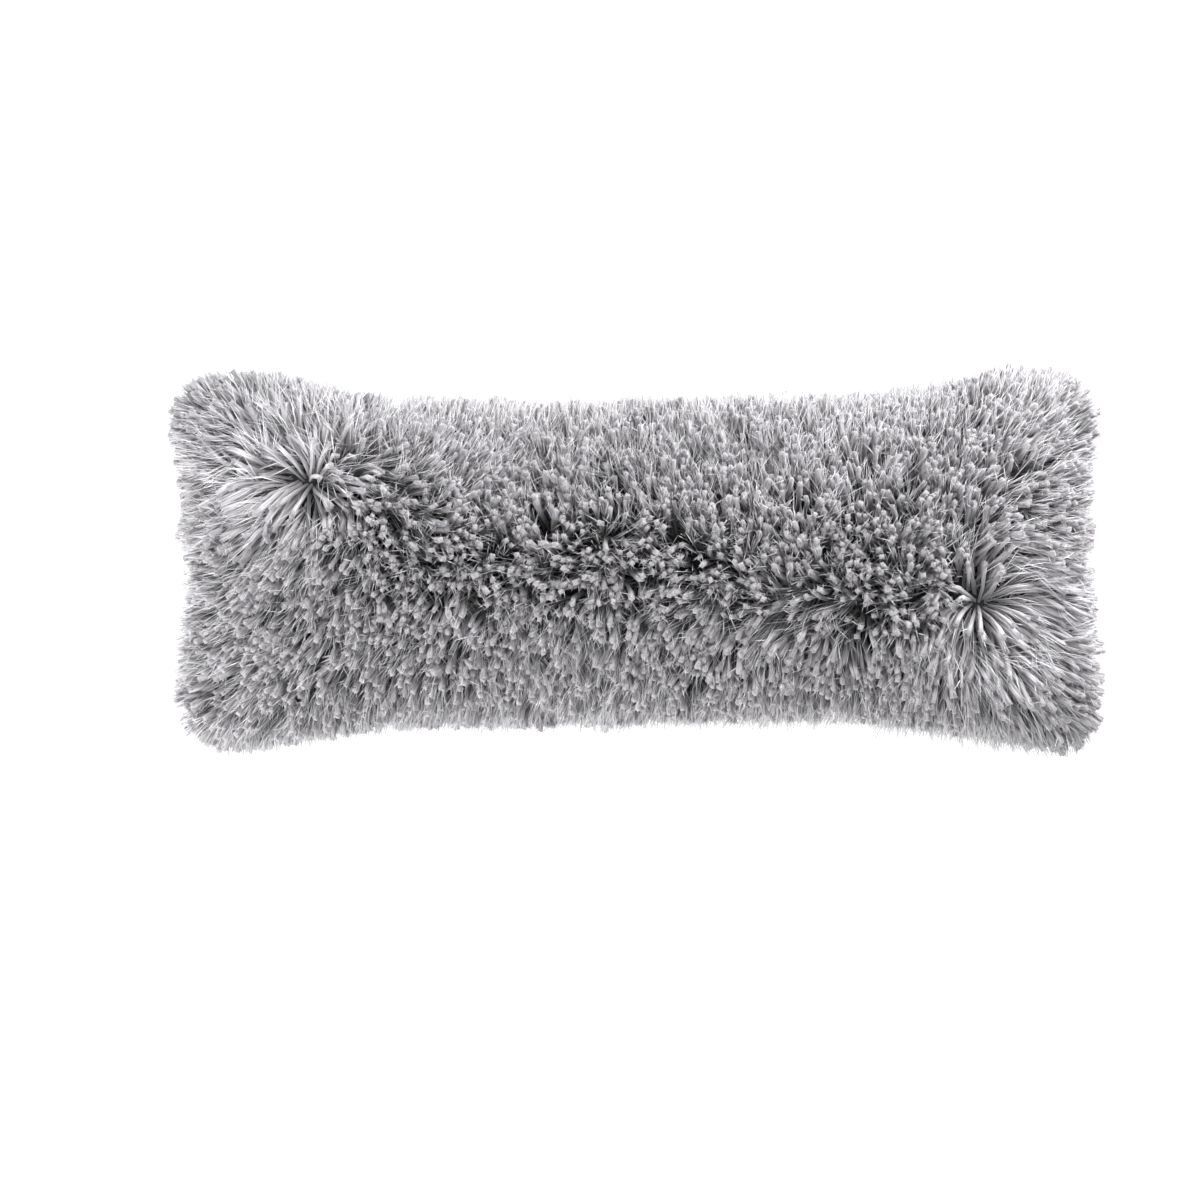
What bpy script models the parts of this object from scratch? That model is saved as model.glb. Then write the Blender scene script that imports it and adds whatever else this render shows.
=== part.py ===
"""A long lumbar cushion with a deep shag face, lying on its plain back with the pile up.

The filled cover is one solid: a crowned pillow whose long sides are drawn in between four
full corners, with a flat patch where it rests. The shag face is a second solid, a lumpy
slab of pile that caps the cover, parts along a wandering line between two whorls, rolls
over the seam and ends in tapered locks all round the rim.

Units are metres. X runs along the cushion, Y across it and Z up, with the origin under the
middle of the cushion on the surface that it rests on.
"""

import math

import bmesh
import bpy
from mathutils import Vector, noise

# The filled cover, measured between its seams
CORNER_LENGTH = 0.790
MIDDLE_LENGTH = 0.760
CORNER_WIDTH = 0.290
MIDDLE_WIDTH = 0.236
CORNER_STARTS = 0.45  # share of the half length where the long sides begin to flare
CORNER_ENDS = 0.90
SEAM_HEIGHT = 0.050
CORNER_SEAM_HEIGHT = 0.042
SHORT_SIDES_DRAWN_FROM = 0.20  # share of the half width from which the short sides draw in
SEAM_WANDER = 0.004  # how far the seam strays from its even line
SEAM_WANDER_LENGTH = 0.110
WANDER_OF_WIDTH = 3.4  # three unlike runs of the same wander
WANDER_OF_LENGTH = 7.9
WANDER_OF_HEIGHT = 1.3
CROWN_RISE = 0.070  # from the seam to the top of the cover
CROWN_ACROSS = 2.3  # a larger power gives a flatter top and steeper sides
CROWN_ALONG = 5.0
CROWN_ROUNDING = 0.56
REST_SHARE_ACROSS = 0.58  # share of the half width that lies flat on the surface
REST_SHARE_ALONG = 0.74
BACK_ROUNDING = 1.7

# The pile
PILE_ON_CROWN = 0.029
PILE_AT_RIM = 0.013
PILE_FULL_AT = 0.30  # share of the half width or length, in from the rim, where it is deep
PARTING_DEPTH = 0.011
PARTING_WIDTH = 0.018
PARTING_SHOULDER = 0.005  # how much higher the upright pile stands beside the parting
WHORL_DEPTH = 0.012
WHORL_WIDTH = 0.016
WHORL_REACH = 0.190  # how far a whorl turns the pile round itself
LUMP_HEIGHT = 0.005
LUMP_ACROSS = 0.030
LUMP_ALONG = 0.080
UNEVEN_SPAN = 0.012  # how far apart tufts and locks stop being alike
TUFT_HEIGHT = 0.006
TUFT_UNEVEN = 0.8
TUFT_LEAN = 0.007  # how far a tuft's top is brushed over from its root
FIT_GAP = 0.0004  # between the pile's backing and the cover

# The cells of both solids' grids; a lock stands on one cell
LENGTH_CELLS = 56
WIDTH_CELLS = 20
EDGE_CROWDING = 0.60  # how much closer the cells lie near the rim
RIM_SHARE = 0.9999  # beyond this share of the half size a point is on the rim
NORMAL_STEP = 0.01  # share of the half size used to find the slope of the cover

# The locks
LOCK_BEND = 0.55  # share of a lock's length where it bends
LOCK_WAIST = 0.80  # its width there, as a share of its root
LOCK_TIP = 0.40
LOCK_DROOP = 0.12  # how far its tip hangs, as a share of its length
LOCK_BRUSHED = 0.25  # how far the brushed pile turns it from straight out
LOCK_UNEVEN = 0.35
LOCK_SCATTER = 0.18
SCATTER_SEED = 4  # fixed, so that every run makes the same locks
WHORL_LOCKS_FROM = 0.028
WHORL_LOCKS_TO = 0.076
WHORL_LOCK_LENGTH = 0.034
WHORL_LOCK_LIFT = 0.55
WHORL_LOCK_UNEVEN = 0.35
WHORL_LOCK_EVERY = 3  # one cell in so many carries a lock, in a slanting pattern

# The line where the pile parts, from the left whorl to the right one
PARTING = [
    {"x": -0.293, "y": 0.069},
    {"x": -0.250, "y": 0.027},
    {"x": -0.187, "y": -0.010},
    {"x": -0.106, "y": -0.014},
    {"x": -0.016, "y": 0.013},
    {"x": 0.056, "y": 0.000},
    {"x": 0.097, "y": -0.025},
    {"x": 0.146, "y": -0.028},
    {"x": 0.236, "y": -0.036},
    {"x": 0.304, "y": -0.039},
]
WHORLS = (PARTING[0], PARTING[-1])

# The rim of the slab in section, from its upper edge round to the seam: how far each line
# lies out from the seam and above it
RIM_SECTION = [
    {"out": 0.009, "up": 0.017},
    {"out": 0.013, "up": 0.007},
    {"out": 0.012, "up": -0.003},
    {"out": 0.007, "up": -0.010},
    {"out": FIT_GAP, "up": FIT_GAP},
]

# A row of locks on each outer band of the rim, from the upper one down: the first face that
# carries a lock, the way its locks point and their length
LOCK_ROWS = [
    {"first": 0, "out": 0.85, "up": 0.40, "length": 0.021},
    {"first": 1, "out": 1.00, "up": 0.05, "length": 0.020},
    {"first": 0, "out": 0.90, "up": -0.50, "length": 0.021},
]

PILE_GREY = (0.56, 0.55, 0.57)
BACK_GREY = (0.42, 0.42, 0.43)
UP = Vector((0, 0, 1))


def eased(low, high, value):
    """0 below low, 1 above high and a smooth rise between."""
    share = min(max((value - low) / (high - low), 0), 1)
    return share * share * (3 - 2 * share)


def crowded(share):
    """Moves evenly spaced lines of the grid towards the rim."""
    quarter = EDGE_CROWDING * math.pi / 2
    return math.sin(share * quarter) / math.sin(quarter)


def wander(along, across, run):
    """A steady stray of the seam, at most about SEAM_WANDER either way."""
    place = Vector((along * CORNER_LENGTH, across * CORNER_WIDTH, 0)) / 2 / SEAM_WANDER_LENGTH
    return 2 * SEAM_WANDER * noise.noise(place + UP * run)


def seam_plan(along, across):
    """The plan position of a point of the cover; both shares run from -1 to 1."""
    flare = eased(CORNER_STARTS, CORNER_ENDS, abs(along))
    half_width = (MIDDLE_WIDTH + (CORNER_WIDTH - MIDDLE_WIDTH) * flare) / 2
    half_width += wander(along, across, WANDER_OF_WIDTH) * (1 - flare)
    draw = eased(SHORT_SIDES_DRAWN_FROM, 1, abs(across))
    half_length = (MIDDLE_LENGTH + (CORNER_LENGTH - MIDDLE_LENGTH) * draw) / 2
    half_length += wander(along, across, WANDER_OF_LENGTH) * (1 - draw)
    return along * half_length, across * half_width


def seam_height(along, across):
    corner = eased(CORNER_STARTS, 1, abs(along)) * eased(CORNER_STARTS, 1, abs(across))
    even = SEAM_HEIGHT + (CORNER_SEAM_HEIGHT - SEAM_HEIGHT) * corner
    return even + wander(along, across, WANDER_OF_HEIGHT)


def cover_top(along, across):
    """A point of the cover's face, under the pile."""
    x, y = seam_plan(along, across)
    side = (1 - abs(across) ** CROWN_ACROSS) ** CROWN_ROUNDING
    end = (1 - abs(along) ** CROWN_ALONG) ** CROWN_ROUNDING
    return Vector((x, y, seam_height(along, across) + CROWN_RISE * side * end))


def cover_back(along, across):
    """A point of the cover's back, which is flat where it rests."""
    x, y = seam_plan(along, across)
    side = max(0, abs(across) - REST_SHARE_ACROSS) / (1 - REST_SHARE_ACROSS)
    end = max(0, abs(along) - REST_SHARE_ALONG) / (1 - REST_SHARE_ALONG)
    lift = 1 - (1 - side**BACK_ROUNDING) * (1 - end**BACK_ROUNDING)
    return Vector((x, y, seam_height(along, across) * lift))


def on_rim(along, across):
    return max(abs(along), abs(across)) > RIM_SHARE


def run_along(along, across):
    """A short run of the cover's face lengthwise at a point."""
    start, end = max(along - NORMAL_STEP, -1), min(along + NORMAL_STEP, 1)
    return cover_top(end, across) - cover_top(start, across)


def run_across(along, across):
    start, end = max(across - NORMAL_STEP, -1), min(across + NORMAL_STEP, 1)
    return cover_top(along, end) - cover_top(along, start)


def crown_normal(along, across):
    """The way the cover's face looks."""
    return run_along(along, across).cross(run_across(along, across)).normalized()


def outward(along, across):
    """The way out from the rim in plan, square to the seam and diagonal at a corner."""
    way = Vector((0, 0, 0))
    if abs(across) > RIM_SHARE:
        seam = run_along(along, across)
        way += Vector((-seam.y, seam.x, 0)).normalized() * math.copysign(1, across)
    if abs(along) > RIM_SHARE:
        seam = run_across(along, across)
        way += Vector((seam.y, -seam.x, 0)).normalized() * math.copysign(1, along)
    return way.normalized()


def parting_at(x):
    """Where the parting runs at x; past the whorls it goes on level with them."""
    if x <= PARTING[0]["x"]:
        return PARTING[0]["y"]
    for start, end in zip(PARTING, PARTING[1:]):
        if x <= end["x"]:
            share = (x - start["x"]) / (end["x"] - start["x"])
            return start["y"] + (end["y"] - start["y"]) * share
    return PARTING[-1]["y"]


def nearness(distance, width):
    """1 at no distance, fading to 0 over about twice the width."""
    return math.exp(-((distance / width) ** 2))


def arms(x, y):
    """The plan vector from each whorl's eye to a point."""
    return [Vector((x - whorl["x"], y - whorl["y"], 0)) for whorl in WHORLS]


def combed(x, y):
    """The way the pile is brushed in plan: off the parting and out from each whorl."""
    off = y - parting_at(x)
    way = Vector((0, math.tanh(off / PARTING_WIDTH), 0))
    for arm in arms(x, y):
        way = way.lerp(arm.normalized(), nearness(arm.length, WHORL_REACH))
    return way.normalized()


def between_whorls(x):
    """1 along the parting and 0 past its ends."""
    begun = eased(PARTING[0]["x"], PARTING[1]["x"], x)
    ended = eased(PARTING[-2]["x"], PARTING[-1]["x"], x)
    return begun * (1 - ended)


def stillness(x, y):
    """1 on the parting and in a whorl's eye, where the pile stands up, and 0 well off them."""
    parting = between_whorls(x) * nearness(y - parting_at(x), PARTING_WIDTH)
    return max(parting, *(nearness(arm.length, WHORL_WIDTH) for arm in arms(x, y)))


def lumps(x, y):
    """Relief of the pile: ridges that run the way it is brushed, round each whorl too."""
    height = noise.noise(Vector((x / LUMP_ACROSS, y / LUMP_ALONG, 0)))
    for number, arm in enumerate(arms(x, y)):
        pull = nearness(arm.length, WHORL_REACH)
        turn = arm.normalized() * (WHORL_REACH / 2 / LUMP_ACROSS)
        ridge = noise.noise(turn + UP * (arm.length / LUMP_ALONG + number))
        height = height * (1 - pull) + ridge * pull
    return 2 * height


def pile_depth(x, y):
    """How deep the pile is over the cover, before it thins out towards the rim."""
    off = y - parting_at(x)
    shoulder = PARTING_SHOULDER * nearness(off, PARTING_WIDTH * 3)
    valley = (PARTING_DEPTH + PARTING_SHOULDER) * nearness(off, PARTING_WIDTH)
    eyes = sum(WHORL_DEPTH * nearness(arm.length, WHORL_WIDTH) for arm in arms(x, y))
    relief = LUMP_HEIGHT * lumps(x, y) + (shoulder - valley) * between_whorls(x)
    return PILE_ON_CROWN + relief - eyes


def pile_top(along, across):
    """A point of the slab's outer surface."""
    base = cover_top(along, across)
    if on_rim(along, across):
        upper = RIM_SECTION[0]
        return base + outward(along, across) * upper["out"] + UP * upper["up"]
    inner = eased(0, PILE_FULL_AT, 1 - abs(along)) * eased(0, PILE_FULL_AT, 1 - abs(across))
    depth = PILE_AT_RIM + (pile_depth(base.x, base.y) - PILE_AT_RIM) * inner
    return base + crown_normal(along, across) * depth


def pile_backing(along, across):
    """A point of the slab's inner surface, just clear of the cover."""
    base = cover_top(along, across)
    if on_rim(along, across):
        seam = RIM_SECTION[-1]
        return base + outward(along, across) * seam["out"] + UP * seam["up"]
    return base + crown_normal(along, across) * FIT_GAP


def grid(mesh, place, faces_up):
    """Adds a grid of the cushion's cells to a mesh, with each point where place puts it.

    Every point keeps its two shares in vertex layers, and the new faces are returned.
    """
    along = mesh.verts.layers.float.get("along") or mesh.verts.layers.float.new("along")
    across = mesh.verts.layers.float.get("across") or mesh.verts.layers.float.new("across")
    cells = {"x_segments": LENGTH_CELLS, "y_segments": WIDTH_CELLS}
    made = set(bmesh.ops.create_grid(mesh, **cells, size=1)["verts"])
    faces = [face for face in mesh.faces if face.verts[0] in made]
    for vertex in made:
        vertex[along] = crowded(vertex.co.x)
        vertex[across] = crowded(vertex.co.y)
        vertex.co = place(vertex[along], vertex[across])
    if not faces_up:
        bmesh.ops.reverse_faces(mesh, faces=faces)
    return faces


def cut_in_triangles(mesh, faces):
    """Splits the cells along set diagonals, so that two fitted surfaces stay apart.

    A corner cell is split through its corner, or face and back would share a triangle there.
    """
    along = mesh.verts.layers.float["along"]
    across = mesh.verts.layers.float["across"]
    cut = bmesh.ops.triangulate(mesh, faces=faces, quad_method="FIXED")["edges"]
    past_corner = [edge for edge in cut if all(on_rim(v[along], v[across]) for v in edge.verts)]
    bmesh.ops.rotate_edges(mesh, edges=past_corner)


def object_from(mesh, name, material, collection):
    bmesh.ops.remove_doubles(mesh, verts=mesh.verts, dist=1e-6)
    data = bpy.data.meshes.new(name)
    mesh.to_mesh(data)
    mesh.free()
    data.shade_smooth()
    data.set_sharp_from_angle(angle=math.radians(40))
    data.materials.append(material)
    made = bpy.data.objects.new(name, data)
    collection.objects.link(made)
    return made


def plain_material(name, colour, roughness):
    material = bpy.data.materials.new(name)
    material.use_nodes = True
    shader = material.node_tree.nodes["Principled BSDF"]
    shader.inputs["Base Color"].default_value = (*colour, 1)
    shader.inputs["Roughness"].default_value = roughness
    shader.inputs["Metallic"].default_value = 0
    material.diffuse_color = (*colour, 1)
    return material


def build_cover(collection):
    """The filled cover: its face and its back share the line of the seam."""
    mesh = bmesh.new()
    cut_in_triangles(mesh, grid(mesh, cover_top, faces_up=True))
    cut_in_triangles(mesh, grid(mesh, cover_back, faces_up=False))
    back_cloth = plain_material("back_cloth", BACK_GREY, 0.9)
    return object_from(mesh, "cushion_body", back_cloth, collection)


def numbered(mesh, crown):
    """The cells of the slab's top in order, each with the numbers of its column and row."""
    along = mesh.verts.layers.float["along"]
    across = mesh.verts.layers.float["across"]
    low_corners = {
        face: (min(v[along] for v in face.verts), min(v[across] for v in face.verts))
        for face in crown
    }
    columns = sorted({corner[0] for corner in low_corners.values()})
    rows = sorted({corner[1] for corner in low_corners.values()})
    cells = [(columns.index(a), rows.index(b), face) for face, (a, b) in low_corners.items()]
    return sorted(cells, key=lambda cell: cell[:2])


def raise_tufts(mesh, crown):
    """Lifts every other point of the slab's top into a tuft, brushed over like the pile."""
    along = mesh.verts.layers.float["along"]
    across = mesh.verts.layers.float["across"]
    for column, row, face in numbered(mesh, crown):
        if (column + row) % 2:
            continue
        corner = min(face.verts, key=lambda v: v[along] + v[across])
        if on_rim(corner[along], corner[across]):
            continue
        x, y, _ = corner.co
        tuft = crown_normal(corner[along], corner[across]) * TUFT_HEIGHT
        tuft += combed(x, y) * TUFT_LEAN
        uneven = 1 + noise.cell(corner.co / UNEVEN_SPAN) * TUFT_UNEVEN
        corner.co += tuft * uneven * (1 - stillness(x, y))


def rim_bands(mesh):
    """Draws the edge of the slab down and in to the seam, and returns its bands of faces."""
    along = mesh.verts.layers.float["along"]
    across = mesh.verts.layers.float["across"]
    edges = [edge for edge in mesh.edges if edge.is_boundary]
    bands = []
    for line in RIM_SECTION[1:]:
        drawn = bmesh.ops.extrude_edge_only(mesh, edges=edges)["geom"]
        for vertex in drawn:
            if isinstance(vertex, bmesh.types.BMVert):
                seam = cover_top(vertex[along], vertex[across])
                way = outward(vertex[along], vertex[across])
                vertex.co = seam + way * line["out"] + UP * line["up"]
        bands.append([item for item in drawn if isinstance(item, bmesh.types.BMFace)])
        edges = [edge for edge in mesh.edges if edge.is_boundary]
    return bands


def round_the_rim(faces):
    """A band's faces in order round the cushion."""
    return sorted(faces, key=lambda face: math.atan2(*face.calc_center_median().yx))


def grow_lock(mesh, face, way, length):
    """Draws one face out into a tapered lock of four sides that droops past its bend."""
    way = way.normalized()
    centre = face.calc_center_median()
    stages = (
        (centre + way * length * LOCK_BEND, LOCK_WAIST),
        (centre + (way - UP * LOCK_DROOP) * length, LOCK_TIP),
    )
    width_before = 1.0
    for middle, width in stages:
        face = bmesh.ops.extrude_discrete_faces(mesh, faces=[face])["faces"][0]
        now = face.calc_center_median()
        for vertex in face.verts:
            vertex.co = middle + (vertex.co - now) * (width / width_before)
        width_before = width


def scatter(place):
    """A small steady wander, the same at each place on every run."""
    noise.seed_set(SCATTER_SEED)
    return noise.noise_vector(place / UNEVEN_SPAN) * LOCK_SCATTER


def rim_locks(mesh, bands):
    """Staggered rows of locks round the rim, leaning the way the pile is brushed."""
    along = mesh.verts.layers.float["along"]
    across = mesh.verts.layers.float["across"]
    for row, band in zip(LOCK_ROWS, bands):
        for face in round_the_rim(band)[row["first"] :: 2]:
            centre = face.calc_center_median()
            out = sum((outward(v[along], v[across]) for v in face.verts), Vector()).normalized()
            sideways = combed(centre.x, centre.y) * LOCK_BRUSHED
            way = (out + sideways).normalized() * row["out"] + UP * row["up"]
            uneven = 1 + noise.noise(centre / UNEVEN_SPAN) * LOCK_UNEVEN
            grow_lock(mesh, face, way + scatter(centre), row["length"] * uneven)


def whorl_locks(mesh, crown):
    """Locks that lie out from each whorl like the rays of a star."""
    for column, row, face in numbered(mesh, crown):
        centre = face.calc_center_median()
        from_whorl = min(arm.length for arm in arms(centre.x, centre.y))
        in_ring = WHORL_LOCKS_FROM < from_whorl < WHORL_LOCKS_TO
        if in_ring and (column + 2 * row) % WHORL_LOCK_EVERY == 0:
            way = combed(centre.x, centre.y) + face.normal * WHORL_LOCK_LIFT
            uneven = 1 + noise.noise(centre / UNEVEN_SPAN) * WHORL_LOCK_UNEVEN
            grow_lock(mesh, face, way + scatter(centre), WHORL_LOCK_LENGTH * uneven)


def build_shag(collection):
    """The shag face: a lumpy slab over the cover with locks at its rim and its whorls."""
    mesh = bmesh.new()
    crown = grid(mesh, pile_top, faces_up=True)
    bands = rim_bands(mesh)
    raise_tufts(mesh, crown)
    backing = grid(mesh, pile_backing, faces_up=False)
    cut_in_triangles(mesh, backing)
    bmesh.ops.remove_doubles(mesh, verts=mesh.verts, dist=1e-6)
    bmesh.ops.recalc_face_normals(mesh, faces=mesh.faces)
    rim_locks(mesh, bands)
    whorl_locks(mesh, crown)
    shag_pile = plain_material("shag_pile", PILE_GREY, 0.85)
    return object_from(mesh, "shag_panel", shag_pile, collection)


def middle_of(made):
    """The middle of an object's outline in plan."""
    corners = [Vector(corner) for corner in made.bound_box]
    middle = sum(corners, Vector()) / len(corners)
    return Vector((middle.x, middle.y, 0))


def main():
    for old in list(bpy.data.objects):
        bpy.data.objects.remove(old)
    collection = bpy.data.collections.new("lumbar_cushion")
    bpy.context.scene.collection.children.link(collection)
    cover = build_cover(collection)
    shag = build_shag(collection)
    middle = middle_of(shag)
    cover.location = -middle
    shag.location = -middle


main()
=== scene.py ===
"""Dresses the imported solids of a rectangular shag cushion: the filled cover with its woven
back, the yarns of the pile with their frayed ends and loose fibres, the fine strands
between them, and a plain pale stage."""

import math

import bmesh
import bpy
import numpy as np
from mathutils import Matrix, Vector, noise


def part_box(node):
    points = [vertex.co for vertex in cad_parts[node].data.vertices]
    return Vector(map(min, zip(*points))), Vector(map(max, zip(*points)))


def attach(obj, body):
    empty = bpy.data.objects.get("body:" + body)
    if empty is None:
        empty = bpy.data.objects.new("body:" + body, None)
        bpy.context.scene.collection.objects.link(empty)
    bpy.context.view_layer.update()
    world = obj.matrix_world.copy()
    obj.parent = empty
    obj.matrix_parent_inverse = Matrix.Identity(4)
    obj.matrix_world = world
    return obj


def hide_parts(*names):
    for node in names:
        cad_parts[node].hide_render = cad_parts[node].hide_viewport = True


bl_info = {
    "name": "Shag Lumbar Cushion",
    "version": (1, 0, 0),
    "blender": (4, 5, 0),
    "location": "3D View > Sidebar > Cushion",
    "description": "Builds a shag cushion round its packed solids",
    "category": "Object",
}

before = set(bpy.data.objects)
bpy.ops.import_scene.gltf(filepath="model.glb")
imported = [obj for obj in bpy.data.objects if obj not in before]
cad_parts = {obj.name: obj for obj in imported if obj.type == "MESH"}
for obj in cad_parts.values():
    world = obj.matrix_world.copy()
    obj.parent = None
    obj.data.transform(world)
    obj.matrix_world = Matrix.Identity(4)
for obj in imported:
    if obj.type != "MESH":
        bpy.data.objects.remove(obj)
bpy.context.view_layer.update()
BODY_NODE = "cushion_body"
PILE_NODE = "shag_panel"

# Where the pile falls apart, in plan: from the left whorl's eye to the right one's
PARTING = np.array(
    [
        (-0.293, 0.069), (-0.250, 0.027), (-0.187, -0.010), (-0.106, -0.014),
        (-0.016, 0.013), (0.056, 0.000), (0.097, -0.025), (0.146, -0.028),
        (0.236, -0.036), (0.304, -0.039),
    ]
)
WHORLS = PARTING[[0, -1]]
# Where the pile lies flattest, beside the whorls' eyes
LAID = np.array([(-0.305, 0.083), (0.328, -0.043)])
# Where the pile stands open and shows the depth between the yarns
OPEN = np.array(
    [
        (-0.250, 0.027), (-0.187, -0.005), (-0.142, 0.025), (-0.115, -0.005),
        (-0.040, 0.024), (-0.010, 0.012), (0.018, 0.006), (0.045, -0.003),
        (0.081, -0.025), (0.264, -0.041),
    ]
)
# A lesser source beside the right whorl, and the fan of yarns that it lays to the left
SIDE_SOURCE = np.array([(0.200, -0.044)])
FAN = np.array([(0.150, -0.044)])
# One thick lock that lies over beside the parting: where it grows, and the way it lies,
# twice as strong as the brushing
BUNCH = np.array([(0.090, -0.041)])
BUNCH_WAY = np.array([-1.54, -1.28, -0.20])
BUNCH_LEAN = math.radians(52)
# The plan outline that the pile is sheared to, round from the upper left corner
SHEARED = np.array(
    [
        (-0.426, 0.120), (-0.421, 0.140), (-0.411, 0.157), (-0.390, 0.168),
        (-0.344, 0.172), (-0.300, 0.163), (-0.250, 0.151), (-0.155, 0.145),
        (-0.060, 0.143), (0.060, 0.146), (0.200, 0.152), (0.250, 0.155),
        (0.290, 0.166), (0.330, 0.175), (0.385, 0.174), (0.411, 0.154),
        (0.421, 0.120), (0.407, 0.084), (0.412, 0.040), (0.414, -0.022),
        (0.425, -0.070), (0.423, -0.115), (0.420, -0.150), (0.398, -0.172),
        (0.385, -0.179), (0.330, -0.164), (0.250, -0.153), (0.115, -0.145),
        (0.000, -0.151), (-0.128, -0.155), (-0.236, -0.154), (-0.300, -0.166),
        (-0.345, -0.175), (-0.385, -0.173), (-0.407, -0.155), (-0.416, -0.120),
        (-0.410, -0.060), (-0.401, -0.025), (-0.412, 0.010), (-0.417, 0.075),
    ]
)
PARTING_SAMPLES = 80
PARTING_MIDDLE = slice(8, -6)  # the samples away from the two eyes
UP = np.array([0.0, 0.0, 1.0])
REAR = np.array([0.0, 1.0, 0.0])
TINY = 1e-9
WELD = 1e-6
BAKE_MAP = "OFBake"

# Brushing: how strongly the parting pushes the pile off, by its place along the cushion,
# and how strongly the two whorls and the lesser source do
PARTING_STRETCH = (-0.20, -0.02)
PARTING_PULL = (0.45, 1.0)
SOURCE_PULLS = (1.20, 1.30, 0.36)
SOURCE_SOFTNESS = 0.005  # metres round the parting in which the brushing turns over
EYE_CALM = (0.02, 0.09)  # metres from an eye over which the brushing starts to wander
WANDER_FAR = 0.032  # metres
SWAY_FAR = 0.30  # sideways share of the brushing
DROOP = -0.35  # downward share of the brushing

# Slow scatter: the size of its patches in metres, and the place where it starts in the noise
WANDER = (0.060, 1.9)
SWAY = (0.045, 3.1)
LOCK_STRAY = (0.030, 5.3)
TUFT_STRAY = (0.014, 8.7)
BROAD_PUCKER = (0.021, 6.4)
NARROW_PUCKER = (0.009, 2.9)
STRAY_START = (1, 0.37, 0.71)
STRAY_SEED = 4  # fixed, so that every run makes the same pile

# Metres round a spot over which the pile changes
EYE_REACH = 0.008
THINNED_WIDTH = 0.014
BUNCH_WIDTH = 0.015
EYE_WIDTH = 0.016
OPEN_WIDTH = 0.018
PARTED_WIDTH = 0.034
FAN_WIDTH = 0.038
WHORL_WIDTH = 0.050
LAID_WIDTH = 0.060
SAG_WIDTH = 0.070

# How far up the cloth faces where the pile changes: 0 at the seam, 1 on the flat
FACE_LEAST = 0.02
RIM = (0.0, 0.45)
SHOULDER_FOOT = (0.30, 0.60)
SHOULDER_TOP = (0.80, 0.96)
GATHERED_FROM = (0.1, 0.6)

# Lie of the pile
SHOULDER_LIFT = 0.50  # share of the lean that is taken off over the shoulder
EYE_LIFT = 0.40  # and at a whorl's eye
EYE_TWIST = 0.5  # radians
LOCK_SHARE = 0.45  # how far whole locks stray
TUFT_SHARE = 0.55  # and the tufts in them
BUNCH_CALM = 0.8  # how much steadier the thick lock lies

# Growth of one fibre
ROOT_DEPTH = 0.004  # metres under the cloth
ROOT_BEND = 0.40  # share of the lean at the root
BENT_AT = 0.65  # share of the length at which the whole lean is reached
CURL_TURN = 0.3  # share of the length at which the curl changes sides
WEIGHT = 0.20
LOWEST = 0.004  # metres over the floor
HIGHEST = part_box(PILE_NODE)[1].z + 0.012
HANG = 0.027  # metres over the floor, under which no yarn's end hangs
SHORTEST = 1e-4
LEAST_KEPT = 0.5  # share of a fibre that the shears leave

# Yarns: their spreads are given with the least and the most
YARN_SEED = 41
ROOT_TRIES = 70000
LOCK_TRIES = 4000
EYE_CROWDING = 0.55  # share of the yarn spacing that is left round an eye
YARN_LENGTHS = (0.11, 0.75, 1.2)
YARN_CURL = 0.22
YARN_RINGS = (0, 0.42, 0.74, 1)
YARN_PROFILE = np.array([0.70, 0.84, 1.0, 1.12])
YARN_SECTION = np.tile([1.0, 0.68], 4)
YARN_LIFTS = np.array([0, 0.18, 0.55, 1])  # how a yarn that hangs too low is lifted
YARN_SPARE = (-0.0055, 0.0024)  # metres that a yarn stands past the outline, and the spread
WIDTH_SPREAD = 0.12
END_LENGTH = 0.0012
END_RAGGED = 0.0018
END_RADIUS = 0.36  # share of a yarn's width at which its end fibres leave it
# How tips gather into locks: in all, more where laid and in the thick lock, less at the rim
GATHER = 0.36
GATHER_LAID = 0.18
GATHER_BUNCH = 0.35
GATHER_RIM = 0.3
GATHER_BEND = 1.5

# Fibres at a yarn's end: how many, how far below the tip, their splay and its spread
FIBRES_IN_END = 4
FRAY_BELOW = 0.0028
FRAY_SPLAY = (0.52, 0.20)
FRAY_WIDTH = 0.0011
FRAY_FROM = 0.9  # share of the yarn's shading at which they start
LOOSE_AT_END = 1
LOOSE_BELOW = 0.0050
LOOSE_SPLAY = (0.70, 0.40)
LOOSE_FROM = 0.85
FIBRE_LENGTHS = 0.22

# Fine strands, which leave the cloth in tufts; a few are whiskers
STRAND_SEED = 17
STRANDS_IN_TUFT = 6
STRAND_CROWDING = 3.0  # how much thicker they stand where the cloth turns down
REAR_CROWDING = 0.4
TUFT_TURN = 0.50
TUFT_LEAN = 0.20
TUFT_RADIUS = 0.004
STRAND_TURN = 0.13
STRAND_LEAN = 0.06
STRAND_LEANS = (0.03, 1.4)
STRAND_LENGTHS = (0.10, 0.6, 1.3)
STRAND_CURL = 0.25
STRAND_RINGS = (0, 0.55, 1)
STRAND_SPARE = 0.0055
FREE_SHARE = 0.25  # share of the strands that stand further past the outline
FREE_SPARE = 2.5
WHISKER_SHARE = 0.08
WHISKER_LENGTH = 1.25
WHISKER_SPARE = 0.009
MOST_SPARE = 0.019  # metres past the outline, which keeps the pile near its solid
BANDS = 3

# Tubes and their map tile: the margin, the sides' part, the teeth and the root's round
TUBE_SLANT = (0.31, 0.17, 0.05)  # off every axis
TUBE_TWIST = 0.7  # radians from root to tip
FIBRE_SHIFT = 10
TILE_EDGE = 0.03
TILE_WIDTH = 0.94
TILE_SIDES = 0.70
TILE_TEETH = (0.73, 0.73, 0.88)
TILE_ROUND = 0.045
TILE_ROUND_AT = (0.5, 0.94)

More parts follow.
